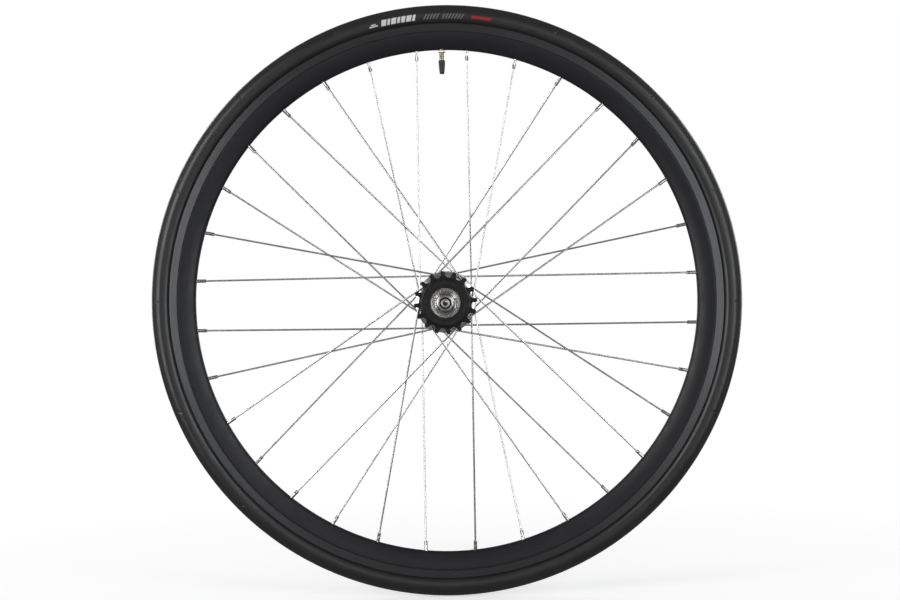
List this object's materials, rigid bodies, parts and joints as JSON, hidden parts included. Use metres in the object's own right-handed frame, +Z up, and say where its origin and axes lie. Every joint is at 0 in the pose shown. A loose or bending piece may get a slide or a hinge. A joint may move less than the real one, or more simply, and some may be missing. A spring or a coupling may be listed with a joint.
{
  "type": "bicycle rear wheel",
  "caption": "Spoked bicycle rear wheel with deep black rim, slick tyre, crossed silver spokes, threaded freewheel sprocket and hollow axle for a quick release skewer.",
  "frame": {"origin": "the wheel's centre: on the axle's axis, in the middle plane of the rim and tyre", "axes": "+Y along the axle towards the side away from the sprocket, +Z up through the valve, +X forward-going side seen on the right from the sprocket side"},
  "size_m": [0.6719, 0.131, 0.672],
  "materials": {
    "tyre_rubber": "black satin rubber, slick tread",
    "tube_rubber": "matt butyl rubber",
    "tape_cloth": "woven cloth tape",
    "rim_aluminium": "black anodised, with machined brake tracks",
    "spoke_steel": "drawn stainless wire",
    "nipple_brass": "nickel plated",
    "hub_aluminium": "polished, anodised silver",
    "axle_steel": "machined, zinc plated",
    "cone_steel": "ground and hardened",
    "zinc_steel": "zinc plated",
    "nut_steel": "bright zinc plated",
    "ball_steel": "polished bearing steel",
    "cup_steel": "ground raceway",
    "dust_cap_steel": "pressed and plated",
    "freewheel_black": "black oxide on machined steel",
    "shim_steel": "rolled shim",
    "pawl_steel": "hardened, oiled",
    "pawl_spring_steel": "blued spring strip",
    "valve_brass": "nickel plated",
    "ring_aluminium": "knurled, plain",
    "cap_plastic": "moulded black plastic"
  },
  "bodies": {
    "axle_set": {"axle": "axle_steel", "drive_cone": "cone_steel", "non_drive_cone": "cone_steel", "drive_lock_washer": "zinc_steel", "non_drive_lock_washer": "zinc_steel", "drive_spacer": "zinc_steel", "non_drive_spacer": "zinc_steel", "drive_locknut": "nut_steel", "non_drive_locknut": "nut_steel"},
    "drive_ball_ring": {"drive_balls": "ball_steel"},
    "non_drive_ball_ring": {"non_drive_balls": "ball_steel"},
    "wheel": {"hub_barrel": "hub_aluminium", "drive_hub_flange": "hub_aluminium", "non_drive_hub_flange": "hub_aluminium", "drive_cup": "cup_steel", "non_drive_cup": "cup_steel", "drive_dust_cap": "dust_cap_steel", "non_drive_dust_cap": "dust_cap_steel", "drive_outer_spokes": "spoke_steel", "drive_inner_spokes": "spoke_steel", "non_drive_outer_spokes": "spoke_steel", "non_drive_inner_spokes": "spoke_steel", "drive_nipples": "nipple_brass", "non_drive_nipples": "nipple_brass", "rim": "rim_aluminium", "rim_tape": "tape_cloth", "inner_tube": "tube_rubber", "tyre": "tyre_rubber", "valve_stem": "valve_brass", "valve_core_pin": "valve_brass", "valve_lock_ring": "ring_aluminium", "freewheel_inner_body": "freewheel_black", "freewheel_lockring": "freewheel_black", "freewheel_shim": "shim_steel", "freewheel_front_balls": "ball_steel", "freewheel_rear_balls": "ball_steel", "pawl_spring_a": "pawl_spring_steel", "pawl_spring_b": "pawl_spring_steel"},
    "freewheel_ring": {"freewheel_sprocket": "freewheel_black"},
    "pawl_a_body": {"pawl_a": "pawl_steel"},
    "pawl_b_body": {"pawl_b": "pawl_steel"},
    "valve_nut_body": {"valve_nut": "valve_brass"},
    "valve_cap_body": {"valve_cap": "cap_plastic"}
  },
  "joints": [
    {"name": "wheel_spin", "type": "hinge", "parent": "axle_set", "child": "wheel", "pos_m": [0, 0, 0], "axis": [0, 1, 0], "continuous": true},
    {"name": "drive_ball_orbit", "type": "hinge", "parent": "axle_set", "child": "drive_ball_ring", "pos_m": [0, -0.042, 0], "axis": [0, 1, 0], "continuous": true},
    {"name": "non_drive_ball_orbit", "type": "hinge", "parent": "axle_set", "child": "non_drive_ball_ring", "pos_m": [0, 0.042, 0], "axis": [0, 1, 0], "continuous": true},
    {"name": "freewheel_spin", "type": "hinge", "parent": "wheel", "child": "freewheel_ring", "pos_m": [0, -0.0435, 0], "axis": [0, 1, 0], "continuous": true},
    {"name": "pawl_a_tilt", "type": "hinge", "parent": "wheel", "child": "pawl_a_body", "pos_m": [0.01804, -0.04445, -0.00803], "axis": [0, 1, 0], "range_deg": [-9, 0], "stiffness_Nm_per_rad": 0.02, "springref_deg": 28.65},
    {"name": "pawl_b_tilt", "type": "hinge", "parent": "wheel", "child": "pawl_b_body", "pos_m": [-0.01804, -0.04445, 0.00803], "axis": [0, 1, 0], "range_deg": [-9, 0], "stiffness_Nm_per_rad": 0.02, "springref_deg": 28.65},
    {"name": "valve_nut_unscrew", "type": "slide", "parent": "wheel", "child": "valve_nut_body", "axis": [0, 0, -1], "range_m": [0, 0.003]},
    {"name": "valve_cap_off", "type": "slide", "parent": "wheel", "child": "valve_cap_body", "axis": [0, 0, -1], "range_m": [0, 0.016]}
  ],
  "couplings": [
    {"joint": "drive_ball_orbit", "follows": "wheel_spin", "ratio": 0.6134},
    {"joint": "non_drive_ball_orbit", "follows": "wheel_spin", "ratio": 0.6134}
  ]
}
